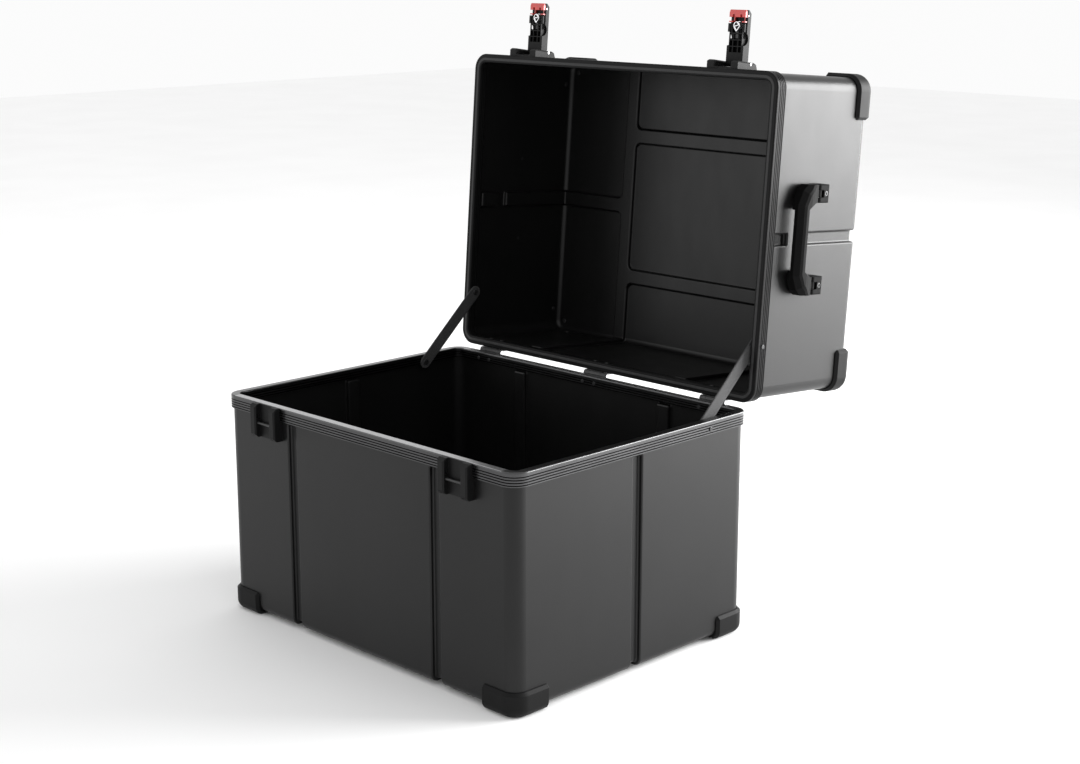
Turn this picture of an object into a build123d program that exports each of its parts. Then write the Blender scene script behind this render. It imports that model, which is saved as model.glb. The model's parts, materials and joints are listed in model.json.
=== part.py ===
from build123d import *
import os

os.makedirs("parts", exist_ok=True)

# A hard-shell top case with a deep lid, standing open on its four corner feet.
# Frame: millimetres, +Z up, front is -Y, origin under the middle of the base at foot level.
# Both halves are modelled in the same half frame: rim plane at Z = 0, floor at Z = -height.

# ---------------------------------------------------------------- driving dimensions
shell_length = 600.0
shell_depth = 458.0
base_height = 324.0
lid_height = 220.0
wall = 4.0
corner_radius = 20.0
edge_radius = 12.0
open_angle = 94.5
rim_gap = 1.0
fit = 0.05
clear = 0.4
over = 5.0
touch = 0.01
least_radius = 2.5

groove_width = 17.0
groove_depth = 6.0
groove_x = 150.0
lid_cross_y = shell_depth / 4
ridge_flank = 3.0
ridge_drop = 3.0
junction_radius = 10.0
lip_radius = 2.5
handle_groove_gap = (-52.0, -75.0)

rim_proud = 3.5
rim_inset = 9.5
rim_outer_leg = 19.5
rim_inner_leg = 15.0
rim_web = 3.0
rim_leg_wall = 2.5
rim_lip_radius = 1.8
rib_start = 6.5
rib_pitch = 3.6
rib_count = 4
rib_groove = 1.3
rib_groove_depth = 0.8
seal_line = -4.5
seal_groove_width = 4.0
seal_groove_depth = 2.0
seal_proud = 0.6

guard_arm = 60.0
guard_height = 30.0
guard_thickness = 5.5
guard_bevel = 4.0
guard_edge = 13.0
guard_short_edge = 3.0
guard_rivet_in = 40.0
guard_rivet_up = 17.0
guard_rivet_floor = 20.0
guard_rivet_bite = 3.5
rivet_radius = 2.0
rivet_head_radius = 3.6
rivet_head_height = 1.4
rivet_tail_radius = 3.0
head_rounding = 0.6
tail_height = 0.7
tail_rounding = 0.35

hinge_x = 231.0
hinge_width = 45.0
hinge_knuckle = 11.0
hinge_barrel_radius = 4.4
hinge_pin_radius = 2.0
hinge_pin_head = 1.0
hinge_pin_head_radius = 3.2
hinge_leaf_thickness = 2.2
hinge_leaf_drop = 18.5
hinge_leaf_corner = 4.0
hinge_axis_out = 4.7
hinge_rivet_x = 12.0
hinge_rivet_z = -9.5

strap_width = 20.0
strap_thickness = 1.4
strap_space = 1.6
strap_hole_radius = 2.8
strap_base_y = 145.0
strap_base_z = -12.0
strap_lid_from_axis = 87.5
strap_lid_z = -10.0
strap_boss_height = 1.9
strap_boss_radius = 5.5
strap_screw_head = 5.0

screw_radius = 2.5
screw_head_radius = 4.2
screw_head_height = 2.0
socket_radius = 2.0
nut_radius = 3.2
latch_screw_x = 9.0
latch_screw_z = -36.0
latch_screw_bite = 5.0

latch_x = 200.0
latch_width = 56.0
latch_channel = 31.0
latch_proud = 15.0
latch_floor = 2.0
latch_chamfer = 5.0
latch_edge = 2.0
keeper_height = 49.0
bracket_top = 3.0
bracket_bottom = 48.0
bracket_fall = 2.5
bracket_lean = 5.0
pivot_from_rim = 33.0
pivot_from_rim_face = 7.0
pivot_radius = 2.0

arm_width = 30.0
arm_length = 75.0
arm_inner = 4.5
arm_outer = 8.5
arm_heel = 4.0
arm_tip_bevel = 2.0
arm_tip_chamfer = 5.0
pin_short = 1.0
waffle_rows = (19.5, 28.5, 37.5)
waffle_row = 7.6
waffle_columns = {-8.0: 5.4, 0.0: 7.8, 8.0: 5.4}
waffle_depth = 6.0
thumb_reach = 34.5
thumb_radius = 9.6
thumb_depth = 3.2
slot_reach = 43.0
slot_width = 22.0
slot_depth = 10.0
tip_reach = 56.0
tip_depth = 6.0
tip_notch = 3.0
bar_reach = 62.0
bar_depth = 3.5
bar_radius = 2.0
bar_socket = 5.0
bar_notch = 2.7
lock_reach = 53.0
lock_radius = 6.0
lock_proud = 0.6
lock_edge = 0.5
key_slot = (1.6, 7.0, 6.0)
cam_boss_radius = 5.5
cam_depth = 4.0
cam_thickness = 3.0
cam_width = 5.0
cam_reach = 17.5
button_reach = 67.0
button_bar = 6.5
button_width = 29.0
button_between = 21.0
button_leg = 6.0
button_leg_reach = 57.5
button_leg_inset = 3.0
button_tab = 10.0
button_tab_reach = 62.5
button_tab_inset = 1.0
button_corner = 2.0
button_bevel = 0.8
button_under = 0.7
button_thickness = 3.9
button_depth = 8.1
button_pin_radius = 1.4
button_pin_depth = 8.0

handle_length = 157.0
handle_from_rim = 104.0
handle_block = 26.0
handle_block_depth = 24.0
handle_block_proud = 20.0
handle_block_round = 5.5
handle_block_edge = 1.5
handle_slot_floor = 6.0
handle_pivot_out = 13.0
handle_pivot_from_rim = 98.0
handle_pin_radius = 2.2
handle_screw_from_rim = 109.5
handle_screw_sink = 2.0
handle_screw_head = 1.8
handle_screw_recess = 4.5
hub_radius = 5.5
hub_width = 10.0
leg_clear = 8.0
hand_gap = 86.0
grip_near = 50.0
grip_far = 69.0
grip_face = 25.0
grip_thickness = 14.0
grip_out = 8.0
grip_slant = 5.0
leg_out = 3.0
leg_step = 7.0
leg_slant = 16.0
leg_overlap = 1.0
grip_chamfer = 2.5
grip_chamfer_run = 20.0
grip_facet = 8.5
grip_bow = ((0.0, 20.0), (8.0, 10.0), (28.0, 0.0))

# ---------------------------------------------------------------- places worked out from them
half_length = shell_length / 2
half_depth = shell_depth / 2
rim_z = guard_thickness + base_height
rim_face_y = half_depth + rim_proud
hinge_y = rim_face_y + hinge_axis_out
hinge_z = rim_gap / 2
leaf_face_y = rim_face_y + hinge_leaf_thickness
pivot_y = rim_face_y + pivot_from_rim_face
arm_inner_z = arm_inner - pivot_from_rim
arm_outer_z = -arm_outer - pivot_from_rim
button_z = arm_inner_z - button_pin_depth
bar_y = pivot_y - arm_inner + bar_depth
bar_z = pivot_from_rim + rim_gap - bar_reach
cam_y = pivot_y - arm_inner + cam_depth
cam_z = pivot_from_rim + rim_gap - lock_reach
strap_lid_y = hinge_y - strap_lid_from_axis
strap_face_x = half_length - rim_inset - strap_boss_height - strap_space
handle_pivot_x = half_length + handle_pivot_out
handle_pivot_z = -handle_pivot_from_rim
handle_end_y = (handle_length - handle_block) / 2
guard_grip = wall + guard_rivet_bite
hinge_grip = leaf_face_y - half_depth + rim_inset
strap_grip = half_length + rim_proud - strap_face_x
latch_grip = wall + latch_screw_bite
handle_grip_length = wall + handle_block_proud - handle_screw_sink

sides = {"left": -1, "right": 1}
ends = {"front": -1, "back": 1}
hinges = {"left": -hinge_x, "centre": 0.0, "right": hinge_x}

base_place = Location((0, 0, rim_z))
lid_closed = Location((0, 0, rim_z + rim_gap)) * Location((0, 0, 0), (0, 180, 0))
hinge_axis = Location((0, hinge_y, rim_z + hinge_z))
lid_place = hinge_axis * Location((0, 0, 0), (-open_angle, 0, 0)) * hinge_axis.inverse() * lid_closed


def save(piece, name, place=Location()):
    """Moves a piece from its half frame to its place, labels it and writes its STEP file."""
    placed = piece.moved(place)
    placed.label = name
    export_step(placed, f"parts/{name}.step")


def facing(x, y, z, direction):
    """The place of a fastener: its head looks along direction, its shank points the other way."""
    return Plane(origin=(x, y, z), z_dir=direction).location


def drill(piece, places, radius, depth):
    """A copy of a piece with round holes for the fasteners at these places."""
    with BuildPart() as drilled:
        add(piece)
        with Locations(*places):
            Cylinder(radius, 2 * depth, mode=Mode.SUBTRACT)
    return drilled.part


# ---------------------------------------------------------------- shells
def rounded_tub(height, inset, top=0.0):
    """A solid box with the shell's outline drawn in by inset, rounded at corners and floor edge."""
    with BuildPart() as tub:
        with BuildSketch(Plane.XY.offset(top)):
            RectangleRounded(
                shell_length - 2 * inset, shell_depth - 2 * inset, corner_radius - inset
            )
        extrude(amount=-(height - inset + top))
        fillet(tub.edges().group_by(Axis.Z)[0], max(edge_radius - inset, least_radius))
    return tub.part


def groove_bars(height, skin, width, cross_y, top, gap):
    """The pressed grooves as bars that follow the shell's skin between two insets.

    Two run front to back and down both walls, one runs out to each side wall and down it,
    and cross_y places others between the long two. gap breaks the side wall runs.
    """
    with BuildPart() as bars:
        with BuildSketch(Plane.XY.offset(-height - over)) as plan:
            with Locations((groove_x, 0), (-groove_x, 0)):
                Rectangle(width, shell_depth + 2 * over)
            with Locations((half_length, 0), (-half_length, 0)):
                Rectangle(2 * (half_length - groove_x), width)
            if cross_y:
                with Locations(*[(0, y) for y in cross_y]):
                    Rectangle(2 * groove_x, width)
            fillet([v for v in plan.vertices() if abs(v.Y) < half_depth - over
                    and abs(abs(v.X) - groove_x) < width], junction_radius)
        extrude(amount=height + over + top)
        if gap:
            with BuildSketch(Plane.XY.offset(gap[1])):
                with Locations((half_length, 0), (-half_length, 0)):
                    Rectangle(4 * corner_radius, width + over)
            extrude(amount=gap[0] - gap[1], mode=Mode.SUBTRACT)
        add(rounded_tub(height, skin[0]), mode=Mode.INTERSECT)
        add(rounded_tub(height, skin[1]), mode=Mode.SUBTRACT)
    return bars.part


def half_shell(height, cross_y=(), gap=()):
    """One thin-walled half: grooves pressed in from outside stand up as ridges inside."""
    ridge_gap = [gap[0] - ridge_flank, gap[1] + ridge_flank] if gap else []
    with BuildPart() as cavity:
        add(rounded_tub(height, wall))
        add(
            groove_bars(height, (wall - 1, wall + groove_depth), groove_width + 2 * ridge_flank,
                        cross_y, -rim_inner_leg - ridge_drop, ridge_gap),
            mode=Mode.SUBTRACT,
        )
        fillet(cavity.edges(Select.LAST), lip_radius)
    with BuildPart() as shell:
        add(rounded_tub(height, 0.0, -rim_web))
        add(
            groove_bars(height, (-1, groove_depth), groove_width, cross_y,
                        -rim_outer_leg - ridge_drop, gap),
            mode=Mode.SUBTRACT,
        )
        fillet(shell.edges(Select.LAST), lip_radius)
        add(cavity.part, mode=Mode.SUBTRACT)
    return shell.part


# ---------------------------------------------------------------- rims
def rim(with_seal_groove):
    """An aluminium channel bent round the shell's open edge, ribbed on its outer face."""
    with BuildPart() as frame:
        with BuildLine() as outline:
            FilletPolyline((half_length, 0), (half_length, half_depth), (-half_length, half_depth),
                           (-half_length, 0), radius=corner_radius)
            FilletPolyline((-half_length, 0), (-half_length, -half_depth), (half_length, -half_depth),
                           (half_length, 0), radius=corner_radius)
        with BuildSketch(Plane(origin=(half_length, 0, 0), x_dir=(1, 0, 0), z_dir=(0, -1, 0))) as section:
            with BuildLine():
                Polyline(
                    (-rim_inset, -rim_inner_leg), (-rim_inset, 0), (rim_proud, 0),
                    (rim_proud, -rim_outer_leg), (0, -rim_outer_leg), (0, -rim_web),
                    (-rim_inset + rim_leg_wall, -rim_web), (-rim_inset + rim_leg_wall, -rim_inner_leg),
                    close=True,
                )
            make_face()
            fillet(section.vertices().group_by(Axis.Y)[-1], rim_lip_radius)
            with Locations(*[(rim_proud, -rib_start - k * rib_pitch) for k in range(rib_count)]):
                Rectangle(2 * rib_groove_depth, rib_groove, mode=Mode.SUBTRACT)
            if with_seal_groove:
                with Locations((seal_line, 0)):
                    Rectangle(seal_groove_width, 2 * seal_groove_depth, mode=Mode.SUBTRACT)
        sweep(path=outline.wires()[0])
    return frame.part


def seal():
    """A rubber cord in the lid rim's groove, standing a little proud of the mating face."""
    with BuildPart() as ring:
        with BuildSketch(Plane.XY.offset(-seal_groove_depth)):
            RectangleRounded(shell_length + 2 * seal_line + seal_groove_width,
                             shell_depth + 2 * seal_line + seal_groove_width,
                             corner_radius + seal_line + seal_groove_width / 2)
            RectangleRounded(shell_length + 2 * seal_line - seal_groove_width,
                             shell_depth + 2 * seal_line - seal_groove_width,
                             corner_radius + seal_line - seal_groove_width / 2, mode=Mode.SUBTRACT)
        extrude(amount=seal_groove_depth + seal_proud)
        fillet(ring.edges().group_by(Axis.Z)[-1], seal_proud)
    return ring.part


# ---------------------------------------------------------------- corner guards
def corner_guard(height):
    """A moulded guard for the +X +Y corner: two wall flanges and an L-shaped floor flange."""
    arm_x = half_length - guard_arm
    arm_y = half_depth - guard_arm
    with BuildPart() as guard:
        with BuildSketch(Plane.XY.offset(-height - guard_thickness)):
            RectangleRounded(shell_length + 2 * guard_thickness, shell_depth + 2 * guard_thickness,
                             corner_radius + guard_thickness)
        extrude(amount=guard_height + guard_thickness)
        fillet(guard.edges().group_by(Axis.Z)[0], guard_edge)
        chamfer(guard.edges().group_by(Axis.Z)[-1], guard_bevel)
        with BuildSketch(Plane.XY.offset(-height - guard_thickness - over)):
            with Locations((arm_x, arm_y)):
                Rectangle(2 * guard_arm, 2 * guard_arm, align=Align.MIN)
            with Locations((half_length - guard_height, half_depth - guard_height)):
                Rectangle(shell_depth, shell_depth, align=Align.MAX, mode=Mode.SUBTRACT)
        extrude(amount=guard_height + guard_thickness + 2 * over, mode=Mode.INTERSECT)
        ends = [e for e in guard.edges() if e.length > guard_short_edge and guard_end_edge(e, height)]
        chamfer(ends, guard_bevel)
        add(rounded_tub(height, 0.0), mode=Mode.SUBTRACT)
    return guard.part


def guard_end_edge(edge, height):
    """True for the outer edges at the ends of a guard's flanges, before the shell is cut out."""
    centre = edge.center()
    at_x_end = abs(centre.X - (half_length - guard_arm)) < touch and centre.Y > half_depth
    at_y_end = abs(centre.Y - (half_depth - guard_arm)) < touch and centre.X > half_length
    return (at_x_end or at_y_end) and edge.geom_type == GeomType.LINE


def guard_rivet_places(height):
    """Three rivets for the +X +Y guard, driven from inside: one through each wall and the floor."""
    low = -height + guard_rivet_up
    return [
        facing(half_length - wall, half_depth - guard_rivet_in, low, (-1, 0, 0)),
        facing(half_length - guard_rivet_in, half_depth - wall, low, (0, -1, 0)),
        facing(half_length - guard_rivet_floor, half_depth - guard_rivet_floor, -height + wall, (0, 0, 1)),
    ]


# ---------------------------------------------------------------- fasteners
def fastener(grip, shank, head, height, tail=0.0, socket=0.0):
    """A pan head above Z = 0 and a shank below; with a formed tail it is a rivet or a nut and bolt."""
    with BuildPart() as piece:
        Cylinder(shank, grip, align=(Align.CENTER, Align.CENTER, Align.MAX))
        Cylinder(head, height, align=(Align.CENTER, Align.CENTER, Align.MIN))
        fillet(piece.edges().group_by(Axis.Z)[-1], height * head_rounding)
        if tail:
            with Locations((0, 0, -grip)):
                Cylinder(tail, height * tail_height, align=(Align.CENTER, Align.CENTER, Align.MAX))
            fillet(piece.edges().group_by(Axis.Z)[0], height * tail_rounding)
        if socket:
            with BuildSketch(Plane.XY.offset(height)):
                RegularPolygon(socket, 6)
            extrude(amount=-height * head_rounding, mode=Mode.SUBTRACT)
    return piece.part


def group(piece, places):
    """Identical separate solids, one at each place."""
    with BuildPart() as several:
        with Locations(*places):
            add(piece)
    return several.part


# ---------------------------------------------------------------- hinges
def hinge_leaf(centre_x, outer_knuckles, bore_radius):
    """A hinge leaf riveted to the rim: a flat plate with rolled knuckles at its upper edge."""
    half = hinge_width / 2
    inner_half = half - hinge_knuckle
    notch_radius = hinge_barrel_radius + clear
    with BuildPart() as leaf:
        with BuildSketch(Plane.YZ.offset(centre_x)):
            with Locations((rim_face_y, hinge_z)):
                Rectangle(hinge_leaf_thickness, hinge_leaf_drop + hinge_z, align=(Align.MIN, Align.MAX))
            with Locations((hinge_y, hinge_z)):
                Circle(hinge_barrel_radius)
        extrude(amount=half, both=True)
        if outer_knuckles:
            notches = [(centre_x, 2 * inner_half + clear)]
        else:
            notches = [(centre_x + side * (half - hinge_knuckle / 2 + clear), hinge_knuckle + 3 * clear)
                       for side in (-1, 1)]
        for notch_x, notch_length in notches:
            with Locations(Location((notch_x, hinge_y, hinge_z), (0, 90, 0))):
                Cylinder(notch_radius, notch_length, mode=Mode.SUBTRACT)
        with Locations(Location((centre_x, hinge_y, hinge_z), (0, 90, 0))):
            Cylinder(bore_radius, hinge_width + over, mode=Mode.SUBTRACT)
        fillet(leaf.edges().filter_by(Axis.Y).group_by(Axis.Z)[0], hinge_leaf_corner)
    return leaf.part


def hinge_rivet_places(centre_x):
    """Two places side by side on a leaf, their heads looking out of the back."""
    return [facing(centre_x + side * hinge_rivet_x, leaf_face_y,
                   hinge_rivet_z, (0, 1, 0)) for side in (-1, 1)]


def hinge_pin():
    """A pin along X with a thin head at each end."""
    with BuildPart() as pin:
        Cylinder(hinge_pin_radius, hinge_width)
        for side in (-1, 1):
            with Locations((0, 0, side * (hinge_width + hinge_pin_head) / 2)):
                Cylinder(hinge_pin_head_radius, hinge_pin_head)
    return pin.part


# ---------------------------------------------------------------- latches
def latch_block(top, bottom, fall=0.0, lean=0.0):
    """Two chamfered cheeks with a channel between them, stepped round the rim's outer face."""
    front = half_depth + latch_proud
    with BuildPart() as block:
        with BuildSketch(Plane.YZ) as side:
            with BuildLine():
                Polyline(
                    (-rim_face_y, top), (-front, top), (-front + fall, bottom + lean), (-half_depth, bottom),
                    (-half_depth, -rim_outer_leg), (-rim_face_y, -rim_outer_leg), close=True,
                )
            make_face()
            chamfer([v for v in side.vertices() if abs(v.X + front) < fall + touch], latch_chamfer - fall)
        extrude(amount=latch_width / 2, both=True)
        with BuildSketch(Plane.XY.offset(bottom)):
            with Locations((0, -rim_face_y - latch_floor)):
                Rectangle(latch_channel, 3 * latch_proud, align=(Align.CENTER, Align.MAX))
        extrude(amount=top - bottom, mode=Mode.SUBTRACT)
        edges = [e for e in block.edges() if e.center().Y < fall - front + touch and abs((e % 0.5).Z) > 0.9]
        chamfer(edges, latch_edge)
    return block.part


def keeper():
    """The base half of a latch, with bores for the catch bar and slots for the lock's cam."""
    with BuildPart() as piece:
        add(latch_block(-clear, -keeper_height))
        with Locations(Location((0, -bar_y, bar_z), (0, 90, 0))):
            Cylinder(bar_radius, latch_channel + 2 * bar_socket, mode=Mode.SUBTRACT)
        with Locations((0, -cam_y, cam_z)):
            Box(2 * (cam_reach + clear), cam_thickness + 2 * clear, cam_width + 2 * clear,
                mode=Mode.SUBTRACT)
    return piece.part


def latch_bracket():
    """The lid half of a latch, bored for the arm's pivot pin."""
    with BuildPart() as piece:
        add(latch_block(-bracket_top, -bracket_bottom, bracket_fall, bracket_lean))
        with Locations(Location((0, -pivot_y, -pivot_from_rim), (0, 90, 0))):
            Cylinder(pivot_radius, latch_width + over, mode=Mode.SUBTRACT)
    return piece.part


def latch_arm():
    """The latch arm standing open: waffle ribs on its inner side and a slot at its tip."""
    pivot_z = -pivot_from_rim
    inner_z = arm_inner_z
    outer_z = arm_outer_z
    tip_y = -pivot_y - arm_length
    with BuildPart() as arm:
        with BuildSketch(Plane.YZ) as side:
            with BuildLine():
                Polyline(
                    (-pivot_y, inner_z), (tip_y + arm_tip_bevel, inner_z), (tip_y, inner_z - arm_tip_bevel),
                    (tip_y, outer_z + arm_tip_chamfer), (tip_y + arm_tip_chamfer, outer_z),
                    (-pivot_y - arm_heel, outer_z), (-pivot_y, outer_z + arm_heel), close=True,
                )
            make_face()
            with Locations((-pivot_y, pivot_z)):
                Circle(arm_inner)
        extrude(amount=arm_width / 2, both=True)
        with Locations(Location((0, -pivot_y, pivot_z), (0, 90, 0))):
            Cylinder(pivot_radius + fit, arm_width + over, mode=Mode.SUBTRACT)
        with BuildSketch(Plane.XY.offset(inner_z)):
            for across, width in waffle_columns.items():
                with Locations([(across, -pivot_y - reach) for reach in waffle_rows]):
                    Rectangle(width, waffle_row)
        extrude(amount=-waffle_depth, mode=Mode.SUBTRACT)
        for side in (-1, 1):
            with Locations(Location((side * arm_width / 2, -pivot_y - thumb_reach, inner_z), (0, 90, 0))):
                Cylinder(thumb_radius, 2 * thumb_depth, mode=Mode.SUBTRACT)
        with Locations((0, tip_y, inner_z)):
            Box(arm_width + over, 2 * (arm_length - tip_reach), 2 * tip_depth, mode=Mode.SUBTRACT)
        with BuildSketch(Plane.XY.offset(inner_z)):
            with Locations((0, tip_y)):
                Rectangle(slot_width, arm_length - slot_reach, align=(Align.CENTER, Align.MIN))
        extrude(amount=-slot_depth, mode=Mode.SUBTRACT)
        with Locations((0, tip_y, inner_z - slot_depth)):
            Box(slot_width, 2 * tip_notch, 2 * slot_depth, mode=Mode.SUBTRACT)
        with Locations((0, -pivot_y - lock_reach, outer_z)):
            Cylinder(lock_radius + fit, slot_depth, mode=Mode.SUBTRACT)
        with Locations((0, -pivot_y - lock_reach - cam_width / 2 - clear, inner_z - cam_depth)):
            Box(arm_width + over, cam_width / 2 + cam_reach + 2 * clear, cam_thickness + 2 * clear,
                align=(Align.CENTER, Align.MIN, Align.CENTER), mode=Mode.SUBTRACT)
        with Locations((0, -pivot_y - bar_reach, inner_z)):
            Box(arm_width + over, 2 * bar_notch, 2 * (bar_depth + bar_notch), mode=Mode.SUBTRACT)
        with Locations(Location((0, -pivot_y - button_reach, button_z), (0, 90, 0))):
            Cylinder(button_pin_radius, arm_width + over, mode=Mode.SUBTRACT)
    return arm.part


def release_button():
    """A rocking bar across the arm's tip, with a tab and two legs that reach back past the lock."""
    tip_y = -pivot_y - arm_length
    front_z = arm_inner_z - button_under
    leg_x = (button_width - button_leg) / 2
    inner_leg = (button_between - button_width) / 2 + button_leg
    leg_y = tip_y + button_leg_inset
    leg_length = arm_length - button_leg_reach - button_leg_inset
    with BuildPart() as button:
        with Locations((0, tip_y, front_z)):
            Box(button_width, button_bar, button_thickness, align=(Align.CENTER, Align.MIN, Align.MAX))
        fillet(button.edges().filter_by(Axis.Z).group_by(Axis.Y)[0], button_corner)
        chamfer(button.edges().group_by(Axis.Y)[0], button_bevel)
        with Locations((0, tip_y + button_tab_inset, front_z)):
            Box(button_tab, arm_length - button_tab_reach - button_tab_inset, button_thickness,
                align=(Align.CENTER, Align.MIN, Align.MAX))
        for side in (-1, 1):
            with Locations((side * leg_x, leg_y, front_z)):
                Box(button_leg, leg_length, button_thickness,
                    align=(Align.CENTER, Align.MIN, Align.MAX))
            with Locations((side * (button_between - inner_leg) / 2, leg_y, front_z)):
                Box(inner_leg, leg_length, button_depth,
                    align=(Align.CENTER, Align.MIN, Align.MAX))
        with Locations((0, -pivot_y - bar_reach, arm_inner_z)):
            Box(arm_width, 2 * bar_notch, 2 * (bar_depth + bar_notch), mode=Mode.SUBTRACT)
        with Locations(Location((0, -pivot_y - button_reach, button_z), (0, 90, 0))):
            Cylinder(button_pin_radius + fit, button_width + over, mode=Mode.SUBTRACT)
    return button.part


def lock_cylinder():
    """The lock's round plug, with a key slot in its outer face."""
    cam_low = arm_inner_z - cam_depth - cam_thickness / 2
    with BuildPart() as plug:
        with Locations((0, -pivot_y - lock_reach, arm_outer_z - lock_proud)):
            Cylinder(lock_radius, cam_low - arm_outer_z + lock_proud,
                     align=(Align.CENTER, Align.CENTER, Align.MIN))
        fillet(plug.edges().group_by(Axis.Z)[0], lock_edge)
        with Locations((0, -pivot_y - lock_reach, arm_outer_z - lock_proud)):
            Box(*key_slot, mode=Mode.SUBTRACT)
    return plug.part


def lock_cam():
    """A flat cam on the plug's inner end that turns across the arm into both cheeks."""
    with BuildPart() as cam:
        with Locations((0, -pivot_y - lock_reach, arm_inner_z - cam_depth)):
            Cylinder(cam_boss_radius, cam_thickness)
            Box(cam_width, cam_reach, cam_thickness, align=(Align.CENTER, Align.MIN, Align.CENTER))
    return cam.part


# ---------------------------------------------------------------- handles
def handle_bracket():
    """The block at one end of a handle, slotted for the handle's hub."""
    low = -handle_from_rim - handle_block_depth / 2
    high = -handle_from_rim + handle_block_depth / 2
    face = half_length + handle_block_proud
    with BuildPart() as block:
        with Locations((half_length, 0, low)):
            Box(handle_block_proud, handle_block, handle_block_depth,
                align=(Align.MIN, Align.CENTER, Align.MIN))
        upper_edge = [e for e in block.edges().filter_by(Axis.Y) if e.center().X > face - touch]
        fillet(sorted(upper_edge, key=lambda e: e.center().Z)[-1], handle_block_round)
        edges = [e for e in block.edges() if e.center().X > face - touch and e.geom_type == GeomType.LINE]
        chamfer(edges, handle_block_edge)
        with Locations((half_length + handle_slot_floor, 0, high + over)):
            Box(handle_block_proud, hub_width + 2 * clear, high + over - handle_pivot_z + hub_radius + clear,
                align=(Align.MIN, Align.CENTER, Align.MAX), mode=Mode.SUBTRACT)
        with Locations(Location((handle_pivot_x, 0, handle_pivot_z), (90, 0, 0))):
            Cylinder(handle_pin_radius, handle_block + over, mode=Mode.SUBTRACT)
        with Locations(facing(face, 0, -handle_screw_from_rim, (1, 0, 0))):
            CounterBoreHole(screw_radius, handle_screw_recess, handle_screw_sink)
    return block.part


def handle_grip():
    """A bowed grip: a faceted bar joined to both pivots by slanting legs."""
    end = handle_length / 2
    gap = hand_gap / 2
    leg_low = handle_pivot_z + leg_clear
    block_face = half_length + handle_block_proud
    grip_x = half_length + grip_face
    with BuildPart() as grip:
        with BuildSketch(Plane.YZ.offset(half_length)) as outline:
            with BuildLine():
                Polyline(
                    (-end, leg_low), *[(inward - end, -grip_near - down) for inward, down in grip_bow],
                    *[(end - inward, -grip_near - down) for inward, down in reversed(grip_bow)],
                    (end, leg_low), (end - handle_block, leg_low), (end - handle_block, leg_low + leg_step),
                    (gap, -grip_far), (-gap, -grip_far), (-end + handle_block, leg_low + leg_step),
                    (-end + handle_block, leg_low), close=True,
                )
            make_face()
        extrude(amount=grip_face)
        bow = [e for e in grip.edges()
               if abs(e.center().X - grip_x) < touch and e.center().Z > touch - grip_far]
        chamfer(bow, grip_facet)
        with BuildSketch(Plane.XZ.offset(-end - over)) as profile:
            with BuildLine():
                Polyline(
                    (half_length + leg_out, leg_low), (block_face, leg_low), (grip_x, leg_low + leg_slant),
                    (grip_x, -grip_near), (half_length + grip_out, -grip_near),
                    (half_length + leg_out, -grip_near - grip_slant), close=True,
                )
            make_face()
        extrude(amount=handle_length + 2 * over, mode=Mode.INTERSECT)
        with Locations((half_length, 0, over - grip_near)):
            Box(2 * (grip_face - grip_thickness), hand_gap, handle_from_rim,
                align=(Align.CENTER, Align.CENTER, Align.MAX), mode=Mode.SUBTRACT)
        outer_edges = [e for e in grip.edges()
                       if e.center().X > grip_x - grip_chamfer / 2 and e.geom_type == GeomType.LINE]
        ends = gap - grip_chamfer_run
        outer_edges = [e for e in outer_edges if abs(e.center().Y) < touch or abs(e.center().Y) > ends]
        chamfer(outer_edges, grip_chamfer)
        for side in (-1, 1):
            with Locations(Location((handle_pivot_x, side * handle_end_y, handle_pivot_z), (90, 0, 0))):
                Cylinder(hub_radius, hub_width)
            with Locations((handle_pivot_x, side * handle_end_y, handle_pivot_z)):
                Box(2 * (hub_radius - leg_overlap), hub_width, leg_clear + leg_overlap,
                    align=(Align.CENTER, Align.CENTER, Align.MIN))
            with Locations(Location((handle_pivot_x, side * handle_end_y, handle_pivot_z), (90, 0, 0))):
                Cylinder(handle_pin_radius + fit, hub_width + over, mode=Mode.SUBTRACT)
    return grip.part


# ---------------------------------------------------------------- stay straps
def strap():
    """A lid stay: flat webbing drawn tight from the base rim to the open lid rim."""
    start = base_place * Location((0, strap_base_y, strap_base_z))
    finish = lid_place * Location((0, strap_lid_y, strap_lid_z))
    rise = finish.position - start.position
    along = Plane(origin=start.position, x_dir=rise, z_dir=(1, 0, 0))
    with BuildPart() as web:
        with BuildSketch(along):
            with Locations((rise.length / 2, 0)):
                SlotCenterToCenter(rise.length, strap_width)
            with Locations((0, 0), (rise.length, 0)):
                Circle(strap_hole_radius, mode=Mode.SUBTRACT)
        extrude(amount=strap_thickness / 2, both=True)
    return web.part


def strap_boss():
    """A round spacer between the rim and a strap's end, with its axis along X."""
    with BuildPart() as boss:
        Cylinder(strap_boss_radius, strap_boss_height, align=(Align.CENTER, Align.CENTER, Align.MAX))
        Cylinder(screw_radius, 4 * strap_boss_height, mode=Mode.SUBTRACT)
    return boss.part


# ---------------------------------------------------------------- what is fastened where
def all_corners(places):
    """The same fastener places at all four corners."""
    spread = []
    for place in places:
        spot = Plane(place)
        for sx in sides.values():
            for sy in ends.values():
                spread.append(facing(sx * spot.origin.X, sy * spot.origin.Y, spot.origin.Z,
                                     (sx * spot.z_dir.X, sy * spot.z_dir.Y, spot.z_dir.Z)))
    return spread


def strap_places(y, z):
    """A strap's screw on each side, its head inside the case."""
    return [facing(side * strap_face_x, y, z, (-side, 0, 0)) for side in sides.values()]


def latch_screw_places(centre_x):
    """Two screws from inside the shell into a latch block."""
    return [facing(centre_x + step, -half_depth + wall, latch_screw_z, (0, 1, 0))
            for step in (-latch_screw_x, latch_screw_x)]


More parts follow.
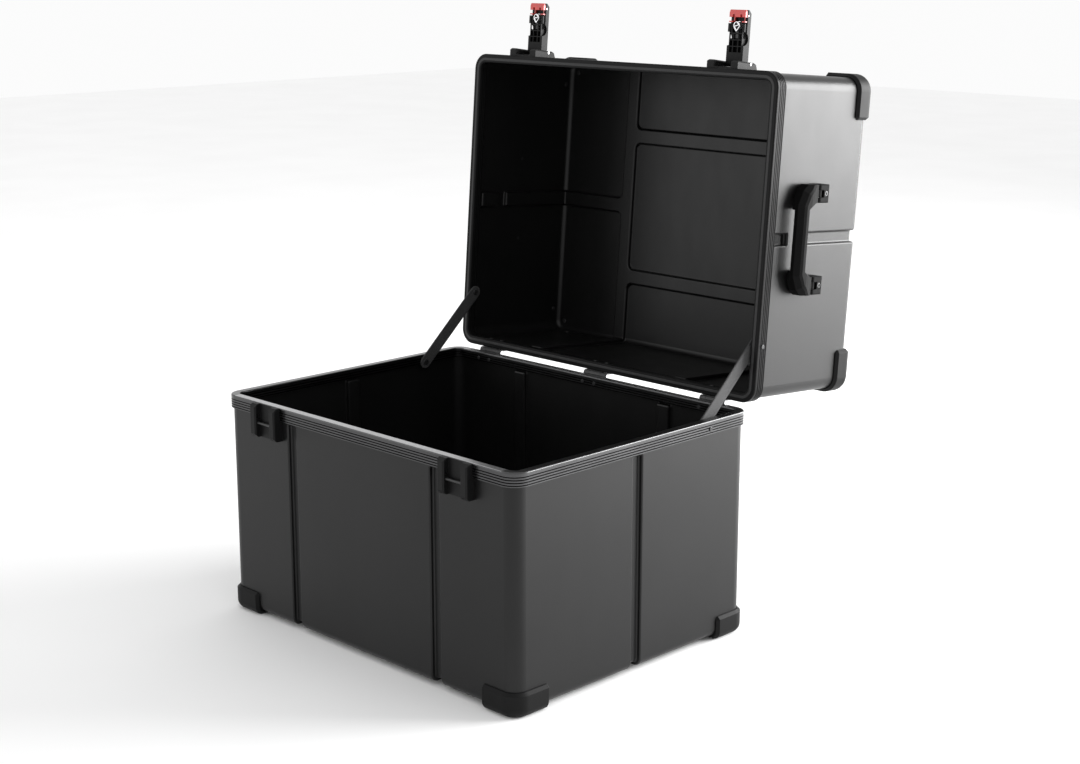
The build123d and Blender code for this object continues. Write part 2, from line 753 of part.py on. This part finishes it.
def handle_screw_places(depth):
    """One screw through each handle block, at a given depth below the block's face."""
    return [facing(side * (half_length + handle_block_proud - depth), end * handle_end_y,
                   -handle_screw_from_rim, (side, 0, 0)) for side in sides.values() for end in ends.values()]


hinge_rivets = [place for x in hinges.values() for place in hinge_rivet_places(x)]
latch_screws = [place for side in sides.values() for place in latch_screw_places(side * latch_x)]
strap_screws = {
    "base": strap_places(strap_base_y, strap_base_z),
    "lid": strap_places(strap_lid_y, strap_lid_z),
}
half_places = {"base": base_place, "lid": lid_place}
half_heights = {"base": base_height, "lid": lid_height}
raw_shells = {
    "base": half_shell(base_height),
    "lid": half_shell(lid_height, (-lid_cross_y, lid_cross_y), handle_groove_gap),
}

# ---------------------------------------------------------------- pieces both halves have
for half, place in half_places.items():
    height = half_heights[half]
    corner_rivets = guard_rivet_places(height)
    shell = drill(raw_shells[half], all_corners(corner_rivets), rivet_radius, guard_grip)
    shell = drill(shell, hinge_rivets, rivet_radius, hinge_grip)
    shell = drill(shell, strap_screws[half], screw_radius, strap_grip)
    shell = drill(shell, latch_screws, screw_radius, latch_grip)
    if half == "lid":
        shell = drill(shell, handle_screw_places(0), screw_radius, 2 * handle_block_proud)
    save(shell, f"{half}_shell", place)

    frame = drill(rim(half == "lid"), hinge_rivets, rivet_radius, hinge_grip)
    save(drill(frame, strap_screws[half], screw_radius, strap_grip), f"{half}_rim", place)

    guard = drill(corner_guard(height), corner_rivets, rivet_radius, guard_grip)
    for end, sy in ends.items():
        for side, sx in sides.items():
            copy = guard if sx > 0 else guard.mirror(Plane.YZ)
            copy = copy if sy > 0 else copy.mirror(Plane.XZ)
            world_side = side if half == "base" else {"left": "right", "right": "left"}[side]
            save(copy, f"{half}_guard_{end}_{world_side}", place)
    rivet = fastener(guard_grip, rivet_radius, rivet_head_radius, rivet_head_height)
    save(group(rivet, all_corners(corner_rivets)), f"{half}_guard_rivets", place)

    for name, x in hinges.items():
        leaf = hinge_leaf(x, half == "base", hinge_pin_radius + (fit if half == "lid" else 0))
        leaf = drill(leaf, hinge_rivet_places(x), rivet_radius, hinge_grip)
        world_name = name if half == "base" else {"left": "right", "right": "left"}.get(name, name)
        save(leaf, f"{half}_hinge_leaf_{world_name}", place)
    rivet = fastener(hinge_grip, rivet_radius, rivet_head_radius, rivet_head_height, rivet_tail_radius)
    save(group(rivet, hinge_rivets), f"{half}_hinge_rivets", place)

    screw = fastener(strap_grip, screw_radius, strap_screw_head, screw_head_height, nut_radius,
                     socket_radius)
    save(group(screw, strap_screws[half]), f"{half}_strap_screws", place)
    boss_places = [spot * Location((0, 0, -strap_space)) for spot in strap_screws[half]]
    save(group(strap_boss(), boss_places), f"{half}_strap_bosses", place)

    screw = fastener(latch_grip, screw_radius, screw_head_radius, screw_head_height, 0, socket_radius)
    save(group(screw, latch_screws), f"{half}_latch_screws", place)

save(seal(), "lid_seal", lid_place)

# ---------------------------------------------------------------- hinge pins and stay straps
pin_places = [Location((x, hinge_y, hinge_z), (0, 90, 0)) for x in hinges.values()]
save(group(hinge_pin(), pin_places), "hinge_pins", base_place)
for side, sx in sides.items():
    save(strap(), f"stay_strap_{side}", Location((sx * (strap_face_x + strap_space / 2), 0, 0)))

# ---------------------------------------------------------------- latches
with BuildPart() as catch_bar:
    with Locations(Location((0, -bar_y, bar_z), (0, 90, 0))):
        Cylinder(bar_radius, latch_channel + 2 * bar_socket)

with BuildPart() as pivot_pin:
    with Locations(Location((0, -pivot_y, -pivot_from_rim), (0, 90, 0))):
        Cylinder(pivot_radius, latch_width - pin_short)

with BuildPart() as button_pin:
    with Locations(Location((0, -pivot_y - button_reach, button_z), (0, 90, 0))):
        Cylinder(button_pin_radius, arm_width - pin_short)

block_screws = latch_screw_places(0)
for side, sx in sides.items():
    base_spot = base_place * Location((sx * latch_x, 0, 0))
    lid_spot = lid_place * Location((-sx * latch_x, 0, 0))
    save(drill(keeper(), block_screws, screw_radius, latch_grip), f"keeper_{side}", base_spot)
    save(catch_bar.part, f"catch_bar_{side}", base_spot)
    save(drill(latch_bracket(), block_screws, screw_radius, latch_grip), f"latch_bracket_{side}", lid_spot)
    save(pivot_pin.part, f"latch_pivot_pin_{side}", lid_spot)
    save(latch_arm(), f"latch_arm_{side}", lid_spot)
    save(release_button(), f"release_button_{side}", lid_spot)
    save(button_pin.part, f"button_pin_{side}", lid_spot)
    save(lock_cylinder(), f"lock_cylinder_{side}", lid_spot)
    save(lock_cam(), f"lock_cam_{side}", lid_spot)

# ---------------------------------------------------------------- handles
with BuildPart() as handle_pin:
    Cylinder(handle_pin_radius, handle_block - pin_short)

for side, sx in sides.items():
    for end, sy in ends.items():
        block = handle_bracket().moved(Location((0, sy * handle_end_y, 0)))
        save(block if sx < 0 else block.mirror(Plane.YZ), f"handle_bracket_{end}_{side}", lid_place)
    grip = handle_grip()
    save(grip if sx < 0 else grip.mirror(Plane.YZ), f"handle_grip_{side}", lid_place)

handle_pins = [Location((sx * handle_pivot_x, sy * handle_end_y, handle_pivot_z), (90, 0, 0))
               for sx in sides.values() for sy in ends.values()]
save(group(handle_pin.part, handle_pins), "handle_pins", lid_place)
screw = fastener(handle_grip_length, screw_radius, screw_head_radius, handle_screw_head, 0, socket_radius)
save(group(screw, handle_screw_places(handle_screw_sink)), "handle_screws", lid_place)
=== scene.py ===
import json
from math import pi, radians

import bmesh
import bpy
from mathutils import Matrix, Vector


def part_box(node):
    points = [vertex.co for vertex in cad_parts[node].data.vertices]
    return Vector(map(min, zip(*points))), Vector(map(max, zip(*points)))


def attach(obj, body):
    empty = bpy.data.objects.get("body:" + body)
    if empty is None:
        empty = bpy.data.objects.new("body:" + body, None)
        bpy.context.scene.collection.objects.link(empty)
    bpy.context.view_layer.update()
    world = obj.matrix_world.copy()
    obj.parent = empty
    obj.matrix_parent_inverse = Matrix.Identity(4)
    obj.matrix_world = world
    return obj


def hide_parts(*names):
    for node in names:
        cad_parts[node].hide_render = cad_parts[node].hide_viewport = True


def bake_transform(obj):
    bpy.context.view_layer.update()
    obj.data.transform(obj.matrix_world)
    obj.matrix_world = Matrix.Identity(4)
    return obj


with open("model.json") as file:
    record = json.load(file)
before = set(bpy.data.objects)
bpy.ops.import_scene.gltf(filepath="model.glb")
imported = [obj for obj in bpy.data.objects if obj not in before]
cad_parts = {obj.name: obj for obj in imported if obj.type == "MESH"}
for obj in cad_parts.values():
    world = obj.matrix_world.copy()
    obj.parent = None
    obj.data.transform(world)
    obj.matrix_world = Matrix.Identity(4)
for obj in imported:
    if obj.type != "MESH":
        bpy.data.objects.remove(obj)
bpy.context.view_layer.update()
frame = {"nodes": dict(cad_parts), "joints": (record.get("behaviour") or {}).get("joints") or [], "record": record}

# A black hard-shell case standing open: moulded halves, extruded rims, latches, handles and straps.
# Metres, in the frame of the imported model. Small sizes are written in millimetres and multiplied by mm.
mm = 0.001

# ---------------------------------------------------------------- places read from the frame
joints = {joint["name"]: joint for joint in frame["joints"]}
slots = {part["node"]: part["material_slot"] for part in frame["record"]["subparts"]}
rim_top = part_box("base_rim")[1][2]
rim_gap = 1.0 * mm
hinge = Vector(joints["lid_hinge"]["pos_m"])
open_angle = radians(joints["lid_hinge"]["range_deg"][1])
half_turn = Matrix.Rotation(pi, 4, "Y")
base_place = Matrix.Translation((0, 0, rim_top))
lid_closed = Matrix.Translation((0, 0, rim_top + rim_gap)) @ half_turn
opening = Matrix.Translation(hinge) @ Matrix.Rotation(-open_angle, 4, "X") @ Matrix.Translation(-hinge)
lid_place = opening @ lid_closed


# ---------------------------------------------------------------- finishes
# The values between which a noise pattern mostly lies.
calm, busy = 0.3, 0.7


class Value:
    """A number that varies over a surface; arithmetic on it adds Math nodes."""

    def __init__(self, finish, socket):
        self.finish = finish
        self.socket = socket

    def with_(self, operation, *others):
        return self.finish.node("ShaderNodeMath", {"operation": operation}, self, *others)

    def __add__(self, other):
        return self.with_("ADD", other)

    def __mul__(self, other):
        return self.with_("MULTIPLY", other)

    def __sub__(self, other):
        return self.with_("SUBTRACT", other)

    def __rsub__(self, other):
        return self * -1 + other

    __radd__ = __add__
    __rmul__ = __mul__


class Finish:
    """A procedural material with one Principled shader."""

    def __init__(self, name, **constants):
        self.material = bpy.data.materials.new(name)
        self.material.use_nodes = True
        self.nodes = self.material.node_tree.nodes
        self.links = self.material.node_tree.links
        self.shader = self.nodes["Principled BSDF"]
        for socket, value in constants.items():
            self.set(socket.replace("_", " "), value)

    def set(self, socket, value):
        """Gives one of the shader's sockets a constant or a link."""
        self.join(self.shader.inputs[socket], value)

    def join(self, socket, value):
        if isinstance(value, Value):
            self.links.new(value.socket, socket)
        elif value is not None:
            socket.default_value = value

    def node(self, kind, settings, *inputs, output=0, **named):
        """One node: its settings, its inputs in order or by name, and the output that is used."""
        made = self.nodes.new(kind)
        for name, value in settings.items():
            if name == "stops":
                ramp_stops(made.color_ramp, value)
            else:
                setattr(made, name, value)
        for socket, value in zip(made.inputs, inputs):
            self.join(socket, value)
        for name, value in named.items():
            self.join(made.inputs[name], value)
        return Value(self, made.outputs[output])

    def place(self, stretch=(1, 1, 1)):
        """Object coordinates in metres, stretched."""
        coordinates = self.node("ShaderNodeTexCoord", {}, output=3)
        return self.node("ShaderNodeMapping", {}, coordinates, Scale=stretch)

    def noise(self, per_metre, detail=2.0, place=None):
        return self.node("ShaderNodeTexNoise", {}, Vector=place or self.place(), Scale=per_metre,
                         Detail=detail, Roughness=0.5)

    def cells(self, per_metre):
        return self.node("ShaderNodeTexVoronoi", {}, Vector=self.place(), Scale=per_metre)

    def ramp(self, value, *stops):
        return self.node("ShaderNodeValToRGB", {"stops": stops}, value)

    def range(self, value, to_low, to_high, low=calm, high=busy):
        return self.node("ShaderNodeMapRange", {}, value, low, high, to_low, to_high)

    def shades(self, value, dark, light):
        """A colour between two greys or tints."""
        return self.ramp(value, (calm, dark), (busy, light))

    def bump(self, height, depth, normal=None):
        raised = self.node("ShaderNodeBump", {}, Strength=1.0, Distance=depth, Height=height, Normal=normal)
        self.set("Normal", raised)

    def mix(self, factor, colour, other):
        """One colour where factor is 0 and the other where it is 1."""
        made = self.node("ShaderNodeMix", {"data_type": "RGBA"}, output=2)
        node = made.socket.node
        self.join(node.inputs[0], factor)
        self.join(node.inputs[6], colour)
        self.join(node.inputs[7], other)
        return made

    def soft_edges(self, radius):
        """Rounds sharp edges slightly, so that they catch the light as moulded ones do."""
        return self.node("ShaderNodeBevel", {"samples": 4}, radius)


def ramp_stops(ramp, stops):
    while len(ramp.elements) < len(stops):
        ramp.elements.new(1.0)
    for element, (position, shade) in zip(ramp.elements, stops):
        element.position = position
        element.color = shade if len(shade) == 4 else (*shade, 1.0)


def grey(level, tint=(1.0, 1.0, 1.02)):
    return tuple(level * part for part in tint)


cloud_scale, cloud_dark, cloud_light = 7.0, 0.82, 1.2
smear_scale, smear_stretch, smear_gloss = 38.0, 0.35, 0.02
pebble_share = 0.6


def moulded(name, level, rough, grain, grain_depth, edge, index=1.38):
    """Moulded black plastic: fine grain, faint cloudy shading, slightly uneven gloss and worn edges."""
    finish = Finish(name, IOR=index)
    clouds = finish.noise(cloud_scale, 4.0)
    finish.set("Base Color", finish.shades(clouds, grey(level * cloud_dark), grey(level * cloud_light)))
    smears = finish.noise(smear_scale, 5.0, finish.place((1, 1, smear_stretch)))
    finish.set("Roughness", finish.range(smears, rough - smear_gloss, rough + smear_gloss))
    pebbles = finish.cells(grain) * pebble_share + finish.noise(grain * pebble_share) * (1 - pebble_share)
    finish.bump(pebbles, grain_depth, finish.soft_edges(edge))
    return finish.material


groove_first, groove_pitch, groove_width = 6.5 * mm, 3.6 * mm, 1.3 * mm
groove_end = 19.5 * mm
# The near-black colour painted into the grooves between the ribs as shade.
groove_shade_level = 0.002
groove_dull = 0.4
# Painted highlight on the rim's top: its depth, the half length of the straight runs it covers, and its scale and
# greys.
lip = 0.35 * mm
straight_run = 279 * mm
lip_highlight_scale, lip_highlight_levels = 240.0, (0.3, 0.42)
draw_along, draw_across = 9.0, 2600.0
rim_gloss = (0.24, 0.36)
rim_coat = 0.3


def anodised(name, place, metal, levels, painted_lip_highlight):
    """Black anodised extrusion: draw lines along it, painted shade in the grooves between its ribs and, where
    asked, a painted highlight along the top of its straight runs.
    """
    finish = Finish(name, Metallic=metal, Coat_Roughness=0.12, IOR=1.15)
    turn = place.inverted()
    across, along, up = (
        finish.node("ShaderNodeVectorMath", {"operation": "DOT_PRODUCT"}, finish.place(), tuple(axis),
                    output=1)
        for axis in turn.to_3x3()
    )
    depth = (up + turn.translation.z) * -1
    drawn = finish.node("ShaderNodeCombineXYZ", {}, across * draw_along, along * draw_along,
                        depth * draw_across)
    lines = finish.noise(1.0, 3.0, drawn)
    clouds = finish.noise(16.0, 3.0)
    ribs = depth * (1 / groove_pitch) + (groove_width / 2 - groove_first) / groove_pitch
    in_groove = ribs.with_("FRACT").with_("LESS_THAN", groove_width / groove_pitch * 1.1)
    from_first = depth.with_("GREATER_THAN", groove_first - groove_width)
    above_end = depth.with_("LESS_THAN", groove_end)
    # Painted shade: a mask of the grooves between the ribs, which are coloured near black below.
    groove_shade_mask = in_groove * from_first * above_end
    ribbed = finish.shades(lines * 0.6 + clouds * 0.4, grey(levels[0]), grey(levels[1]))
    shown = finish.mix(groove_shade_mask, ribbed, (*grey(groove_shade_level), 1))
    # Painted highlight: the top of the straight front and back runs is coloured light grey, as if lit from above.
    if painted_lip_highlight:
        straight = across.with_("ABSOLUTE").with_("LESS_THAN", straight_run)
        top = depth.with_("LESS_THAN", lip) * straight
        highlit_lip = finish.shades(finish.noise(lip_highlight_scale, 4.0), *map(grey, lip_highlight_levels))
        shown = finish.mix(top, shown, highlit_lip)
    finish.set("Base Color", shown)
    finish.set("Coat Weight", (1 - groove_shade_mask) * rim_coat * metal)
    finish.set("Roughness", finish.range(lines, *rim_gloss, 0.25, 0.75) + groove_shade_mask * groove_dull)
    finish.bump(lines, 0.05 * mm, finish.soft_edges(0.15 * mm))
    return finish.material


worn_from, worn_metal = (0.62, 0.7), 0.9


def painted(name, level, rough, metal=0.4):
    """Satin black paint on steel, with small specks worn towards bare metal."""
    finish = Finish(name, IOR=1.5)
    specks = finish.noise(420.0, 3.0)
    worn = finish.range(specks, 0.0, 1.0, *worn_from)
    finish.set("Base Color", finish.shades(worn, grey(level), grey(level * 3.0)))
    finish.set("Metallic", finish.range(worn, metal, worn_metal, 0.0, 1.0))
    finish.set("Roughness", finish.range(finish.noise(90.0), rough - 0.05, rough + 0.07))
    finish.bump(finish.noise(900.0), 0.04 * mm, finish.soft_edges(0.3 * mm))
    return finish.material


def ground_steel(name, level, rough):
    """Bright metal with fine turned lines."""
    finish = Finish(name, Metallic=1.0)
    lines = finish.noise(1.0, 2.0, finish.place((3000, 60, 60)))
    finish.set("Base Color", finish.shades(lines, grey(level * 0.85), grey(level)))
    finish.set("Roughness", finish.range(lines, rough, rough + 0.1))
    finish.bump(lines, 0.02 * mm)
    return finish.material


def rubber():
    finish = Finish("seal_rubber", IOR=1.45)
    dust = finish.noise(120.0, 4.0)
    finish.set("Base Color", finish.shades(dust, grey(0.012), grey(0.03)))
    finish.set("Roughness", finish.range(dust, 0.55, 0.75))
    finish.bump(finish.noise(700.0), 0.05 * mm)
    return finish.material


def red_button():
    """Satin red plastic with a thin gloss over it, slightly uneven in colour."""
    finish = Finish("button_red", IOR=1.5, Coat_Weight=0.25, Coat_Roughness=0.2)
    clouds = finish.noise(160.0, 3.0)
    finish.set("Base Color", finish.shades(clouds, (0.42, 0.018, 0.016), (0.56, 0.035, 0.028)))
    finish.set("Roughness", finish.range(clouds, 0.3, 0.42))
    finish.bump(finish.noise(1500.0), 0.02 * mm, finish.soft_edges(0.5 * mm))
    return finish.material


def webbing():
    """Woven strap: ribs across it, wavy rows along it and fine fibres, on its own map."""
    finish = Finish("webbing", IOR=1.4, Sheen_Weight=0.08, Sheen_Roughness=0.5)
    across = finish.node("ShaderNodeUVMap", {"uv_map": "weave"})
    picks = finish.node("ShaderNodeTexWave", {"bands_direction": "Y", "wave_profile": "SIN"}, Vector=across,
                        Scale=45.0, Distortion=0.0)
    warp = finish.node("ShaderNodeTexWave", {"bands_direction": "X", "wave_profile": "SIN"}, Vector=across,
                       Scale=5.5, Distortion=0.6, Detail=1.0)
    fibres = finish.noise(3500.0)
    weave = picks * 0.5 + warp * 0.3 + fibres * 0.2
    finish.set("Base Color", finish.shades(weave, grey(0.02), grey(0.06)))
    finish.set("Roughness", finish.range(weave, 0.85, 0.65, 0.2, 0.8))
    finish.bump(weave, 0.25 * mm)
    return finish.material


finishes = {
    "shell_plastic": moulded("shell_plastic", 0.0045, 0.38, 1400.0, 0.05 * mm, 0.6 * mm, 1.36),
    "guard_plastic": moulded("guard_plastic", 0.005, 0.5, 900.0, 0.08 * mm, 0.6 * mm, 1.22),
    "boss_plastic": moulded("boss_plastic", 0.005, 0.38, 1600.0, 0.03 * mm, 0.3 * mm),
    "latch_plastic": moulded("latch_plastic", 0.004, 0.5, 1500.0, 0.04 * mm, 0.5 * mm, 1.26),
    "handle_plastic": moulded("handle_plastic", 0.003, 0.6, 1500.0, 0.04 * mm, 0.6 * mm, 1.15),
    "rivet_black": painted("rivet_black", 0.03, 0.36),
    "hinge_steel": painted("hinge_steel", 0.03, 0.38),
    "screw_black": painted("screw_black", 0.025, 0.34),
    "pin_steel": ground_steel("pin_steel", 0.55, 0.25),
    "lock_chrome": ground_steel("lock_chrome", 0.8, 0.12),
    # The base rim carries the painted highlight on its top.
    "rim_anodised": anodised("rim_anodised", base_place, 1.0, (0.045, 0.08), True),
    # The lid's rim: the same anodised finish made far darker and not metallic, as painted shade.
    "lid_rim_anodised": anodised("lid_rim_anodised", lid_place, 0.0, (0.006, 0.01), False),
    "seal_rubber": rubber(),
    "button_red": red_button(),
    "webbing": webbing(),
}


def finish_of(node, name):
    """The finish of a CAD node: the lid's rim has its own, because its lines run another way; it is also a far
    darker, non-metallic copy of the same finish, which is painted shade.
    """
    return finishes["lid_" + name if node == "lid_rim" else name]


for node, part in frame["nodes"].items():
    part.data.materials.clear()
    part.data.materials.append(finish_of(node, slots[node]))


# ---------------------------------------------------------------- making pieces
def keep(shape, name, slot, body, place):
    """Turns a bmesh into a piece that stands in its place and rides on a body."""
    shape.transform(place)
    mesh = bpy.data.meshes.new(name)
    shape.to_mesh(mesh)
    shape.free()
    for face in mesh.polygons:
        face.use_smooth = True
    mesh.materials.append(finishes[slot])
    piece = bpy.data.objects.new(name, mesh)
    bpy.context.scene.collection.objects.link(piece)
    if body:
        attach(piece, body)
    return piece


# ---------------------------------------------------------------- stay straps
strap_length_rows = 64
strap_width_rows = 8
strap_width = 20.0 * mm
strap_end_share = 0.25


def stay_strap(side):
    """A woven strap from the base rim to the lid rim, rounded at both ends."""
    low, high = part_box("stay_strap_" + side)
    width, thick = strap_width, high[0] - low[0]
    middle_x = (low[0] + high[0]) / 2
    base_end = Vector((middle_x, low[1] + width / 2, low[2] + width / 2))
    lid_end = Vector((middle_x, high[1] - width / 2, high[2] - width / 2))
    along = (lid_end - base_end).normalized()
    length = (lid_end - base_end).length + width
    shape = bmesh.new()
    weave = shape.loops.layers.uv.new("weave")
    bmesh.ops.create_grid(shape, x_segments=strap_width_rows, y_segments=strap_length_rows, size=0.5)
    for face in shape.faces:
        for loop in face.loops:
            loop[weave].uv = (loop.vert.co.x + 0.5, (loop.vert.co.y + 0.5) * length / width)
    for vert in shape.verts:
        reach = vert.co.y * length
        end = max(0.0, abs(reach) - (length - width) / 2) / (width / 2)
        narrowing = max(0.0, 1.0 - end ** 2) ** 0.5
        vert.co = Vector((vert.co.x * width * max(narrowing, strap_end_share), reach, 0))
    bmesh.ops.solidify(shape, geom=shape.faces[:], thickness=thick)
    bmesh.ops.recalc_face_normals(shape, faces=shape.faces)
    centre = (base_end + lid_end) / 2
    out = Vector((1, 0, 0))
    turned = Matrix((along.cross(out), along, out)).transposed().to_4x4()
    middle = sum((vert.co.z for vert in shape.verts)) / len(shape.verts)
    place = Matrix.Translation(centre) @ turned @ Matrix.Translation((0, 0, -middle))
    piece = keep(shape, "webbing_strap_" + side, "webbing", None, place)
    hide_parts("stay_strap_" + side)
    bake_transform(piece)


for side in ("left", "right"):
    stay_strap(side)


# ---------------------------------------------------------------- lock trim
ring_radius, ring_wire = 5.0 * mm, 0.9 * mm
ring_point, ring_narrowing = 1.8 * mm, 0.35
swan_wire = 1.05 * mm
cam_face = 0.2 * mm
swan = ((-0.6, -3.9), (-3.4, -3.2), (-3.4, -0.6), (0.2, 0.2), (3.5, 0.9), (3.4, 3.7), (0.4, 4.2))


def lock_trim(side):
    """A bright ring, drawn out to a point, and an S-shaped wire across it, on the lock's inner end."""
    low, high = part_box("lock_cam_" + side)
    in_lid = lid_place.inverted()
    corners = [in_lid @ Vector((x, y, z)) for x in (low[0], high[0]) for y in (low[1], high[1])
               for z in (low[2], high[2])]
    axis = in_lid @ Vector(joints["lock_turn_" + side]["pos_m"])
    face = max(corner.z for corner in corners) + cam_face
    place = lid_place @ Matrix.Translation((axis.x, axis.y, face))
    ring = bmesh.new()
    bmesh.ops.create_circle(ring, segments=12, radius=ring_wire,
                            matrix=Matrix.Translation((ring_radius, 0, 0)) @ Matrix.Rotation(pi / 2, 4, "X"))
    bmesh.ops.spin(ring, geom=ring.verts[:] + ring.edges[:], cent=(0, 0, 0), axis=(0, 0, 1), angle=2 * pi,
                   steps=48, use_merge=True)
    bmesh.ops.recalc_face_normals(ring, faces=ring.faces)
    for vert in ring.verts:
        pull = max(0.0, vert.co.y / ring_radius) ** 3
        vert.co.y += ring_point * pull
        vert.co.x *= 1 - ring_narrowing * pull
    keep(ring, "lock_ring_" + side, "lock_chrome", "lock_" + side, place)
    line = bpy.data.curves.new("lock_swan_" + side, "CURVE")
    line.dimensions = "3D"
    line.bevel_depth = swan_wire
    line.bevel_resolution = 4
    line.use_fill_caps = True
    spline = line.splines.new("NURBS")
    spline.points.add(len(swan) - 1)
    for point, (across, along) in zip(spline.points, swan):
        point.co = (*(place @ Vector((across * mm, along * mm, 0))), 1.0)
    spline.order_u = 3
    spline.use_endpoint_u = True
    line.materials.append(finishes["lock_chrome"])
    hook = bpy.data.objects.new("lock_swan_" + side, line)
    bpy.context.scene.collection.objects.link(hook)
    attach(hook, "lock_" + side)


for side in ("left", "right"):
    lock_trim(side)


# ---------------------------------------------------------------- floor, light and camera
def floor():
    shape = bmesh.new()
    bmesh.ops.create_grid(shape, x_segments=1, y_segments=1, size=9.0)
    mesh = bpy.data.meshes.new("floor")
    shape.to_mesh(mesh)
    shape.free()
    paper = Finish("floor_paper", Roughness=0.9, Specular_IOR_Level=0.2)
    paper.set("Base Color", paper.shades(paper.noise(3.0, 2.0), (0.93, 0.93, 0.93), (0.95, 0.95, 0.95)))
    mesh.materials.append(paper.material)
    ground = bpy.data.objects.new("floor", mesh)
    bpy.context.scene.collection.objects.link(ground)


def soft_box(name, place, aim, size, power):
    light = bpy.data.lights.new(name, "AREA")
    light.shape = "RECTANGLE"
    light.size, light.size_y = size
    light.energy = power
    lamp = bpy.data.objects.new(name, light)
    lamp.location = place
    lamp.rotation_euler = (Vector(aim) - Vector(place)).to_track_quat("-Z", "Y").to_euler()
    bpy.context.scene.collection.objects.link(lamp)


def surroundings(level):
    """A plain white surround."""
    world = bpy.data.worlds.new("surroundings")
    world.use_nodes = True
    background = world.node_tree.nodes["Background"]
    background.inputs["Color"].default_value = (1, 1, 1, 1)
    background.inputs["Strength"].default_value = level
    bpy.context.scene.world = world


floor()
surroundings(0.97)
middle = (0.2, 0.2, 0.4)
soft_box("right_back_box", (1.8, 2.7, 1.1), middle, (2.4, 1.8), 250)
soft_box("front_left_box", (-2.3, -2.7, 1.0), middle, (1.7, 1.3), 12)

focal_length, downwards = 61.3, 13.43
lens = bpy.data.cameras.new("camera")
lens.lens = focal_length
lens.sensor_width = 36.0
lens.clip_end = 50.0
camera = bpy.data.objects.new("camera", lens)
camera.location = (1.869, -1.753, 0.969)
camera.rotation_euler = (radians(90 - downwards), 0, radians(45))
bpy.context.scene.collection.objects.link(camera)
bpy.context.scene.camera = camera
bpy.context.scene.view_settings.view_transform = "Standard"
